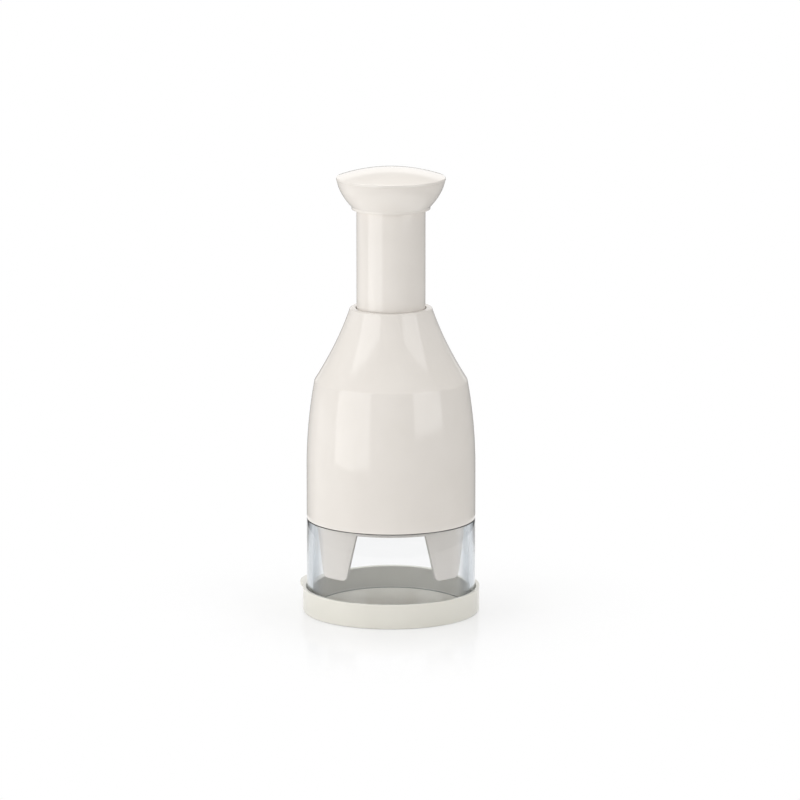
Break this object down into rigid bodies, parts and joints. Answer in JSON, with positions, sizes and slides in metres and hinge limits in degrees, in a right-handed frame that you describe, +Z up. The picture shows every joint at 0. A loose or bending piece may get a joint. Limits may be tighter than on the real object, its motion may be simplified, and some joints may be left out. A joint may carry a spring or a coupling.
{
  "type": "onion chopper",
  "caption": "Press-down onion chopper: a knob on a sprung plunger drives turning folded blades through a scraper disc into a clear cup with a pull-off base cap.",
  "frame": {"origin": "middle of the base cap's flat underside, on the plunger's axis", "axes": "+Z up along the plunger's axis, -Y towards the pictured front"},
  "size_m": [0.0919, 0.0904, 0.2284],
  "materials": {
    "body_plastic": "glossy cream moulded plastic",
    "clear_plastic": "clear moulded plastic",
    "bearing_plastic": "smooth white acetal",
    "blade_steel": "ground stainless steel",
    "spring_steel": "drawn spring steel",
    "screw_steel": "plated steel",
    "bumper_rubber": "soft rubber"
  },
  "bodies": {
    "base": {"base_cap": "body_plastic"},
    "cup": {"clear_cup": "clear_plastic"},
    "housing": {"housing_shell": "body_plastic", "guide_bush": "bearing_plastic", "finger_cage": "body_plastic", "scraper_retainer": "spring_steel", "mechanism_deck": "bearing_plastic", "deck_screws": "screw_steel", "bumper_ring": "bumper_rubber", "index_sleeve": "bearing_plastic", "sleeve_nut": "bearing_plastic", "lower_spring_seat": "spring_steel", "return_spring": "spring_steel"},
    "plunger": {"plunger_tube": "body_plastic", "stop_ring": "bearing_plastic", "plunger_head": "bearing_plastic", "knob_bowl": "body_plastic", "knob_cap": "body_plastic", "knob_screws": "screw_steel", "thrust_washer": "spring_steel", "upper_spring_seat": "spring_steel"},
    "blade_set": {"blade_shaft": "blade_steel", "shaft_clip": "spring_steel", "cam_pin": "blade_steel", "blade_carrier": "bearing_plastic", "blade_1": "blade_steel", "blade_2": "blade_steel", "blade_3": "blade_steel", "blade_4": "blade_steel"},
    "scraper": {"scraper_disc": "body_plastic"}
  },
  "joints": [
    {"name": "cup_lift", "type": "slide", "parent": "base", "child": "cup", "axis": [0, 0, 1], "range_m": [0, 0.1]},
    {"name": "housing_lift", "type": "slide", "parent": "cup", "child": "housing", "axis": [0, 0, 1], "range_m": [0, 0.06]},
    {"name": "plunger_press", "type": "slide", "parent": "housing", "child": "plunger", "axis": [0, 0, -1], "range_m": [0, 0.044], "stiffness_N_per_m": 250, "springref_m": -0.03, "deforming": ["return_spring"]},
    {"name": "blade_turn", "type": "hinge", "parent": "plunger", "child": "blade_set", "pos_m": [0, 0, 0.2], "axis": [0, 0, 1], "range_deg": [0, 45.5]},
    {"name": "scraper_turn", "type": "hinge", "parent": "housing", "child": "scraper", "pos_m": [0, 0, 0.049], "axis": [0, 0, 1], "range_deg": [0, 45.5]}
  ],
  "couplings": [
    {"joint": "blade_turn", "follows": "plunger_press", "rad_per_m": 17.85},
    {"joint": "scraper_turn", "follows": "plunger_press", "rad_per_m": 17.85}
  ]
}
